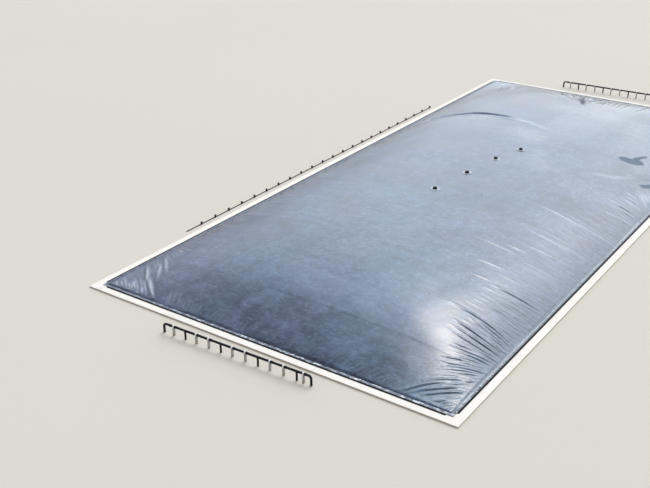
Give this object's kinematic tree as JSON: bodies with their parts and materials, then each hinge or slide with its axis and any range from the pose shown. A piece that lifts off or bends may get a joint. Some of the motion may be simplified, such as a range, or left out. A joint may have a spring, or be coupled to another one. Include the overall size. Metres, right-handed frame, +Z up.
{
  "type": "covered-lagoon biogas digester, 1:10 scale model",
  "caption": "Covered-lagoon biogas digester at 1:10: a concrete ring beam clamping a blown-up black membrane gas cover, with header pipe racks at both ends.",
  "frame": {"origin": "middle of the plant's footprint, on the ground", "axes": "+X along the long side away from the near end, +Y across towards the side with the riser line, +Z up"},
  "size_m": [12.1296, 5.327, 0.3506],
  "materials": {
    "concrete": "matt cast concrete, sun-bleached",
    "embedded_strip": "matt black",
    "membrane": "black sheet with a dusty sheen",
    "black_pipe": "satin black",
    "grey_post": "weathered grey paint"
  },
  "bodies": {
    "root": {"right_beam_1": "concrete", "right_beam_2": "concrete", "right_beam_3": "concrete", "left_beam_1": "concrete", "left_beam_2": "concrete", "left_beam_3": "concrete", "near_beam": "concrete", "far_beam": "concrete", "right_strip": "embedded_strip", "left_strip": "embedded_strip", "near_strip": "embedded_strip", "far_strip": "embedded_strip", "right_skirt": "membrane", "left_skirt": "membrane", "near_skirt": "membrane", "far_skirt": "membrane", "gas_cover": "membrane", "cover_port_1": "black_pipe", "cover_port_2": "black_pipe", "cover_port_3": "black_pipe", "cover_port_4": "black_pipe", "near_header_pipe": "black_pipe", "near_support_1": "grey_post", "near_support_2": "grey_post", "near_support_3": "grey_post", "near_support_4": "grey_post", "near_support_5": "grey_post", "near_support_6": "grey_post", "near_support_7": "grey_post", "near_support_8": "grey_post", "far_header_pipe": "black_pipe", "far_support_1": "grey_post", "far_support_2": "grey_post", "far_support_3": "grey_post", "far_support_4": "grey_post", "far_support_5": "grey_post", "far_support_6": "grey_post", "far_support_7": "grey_post", "far_support_8": "grey_post", "left_riser_line": "black_pipe"}
  },
  "joints": []
}
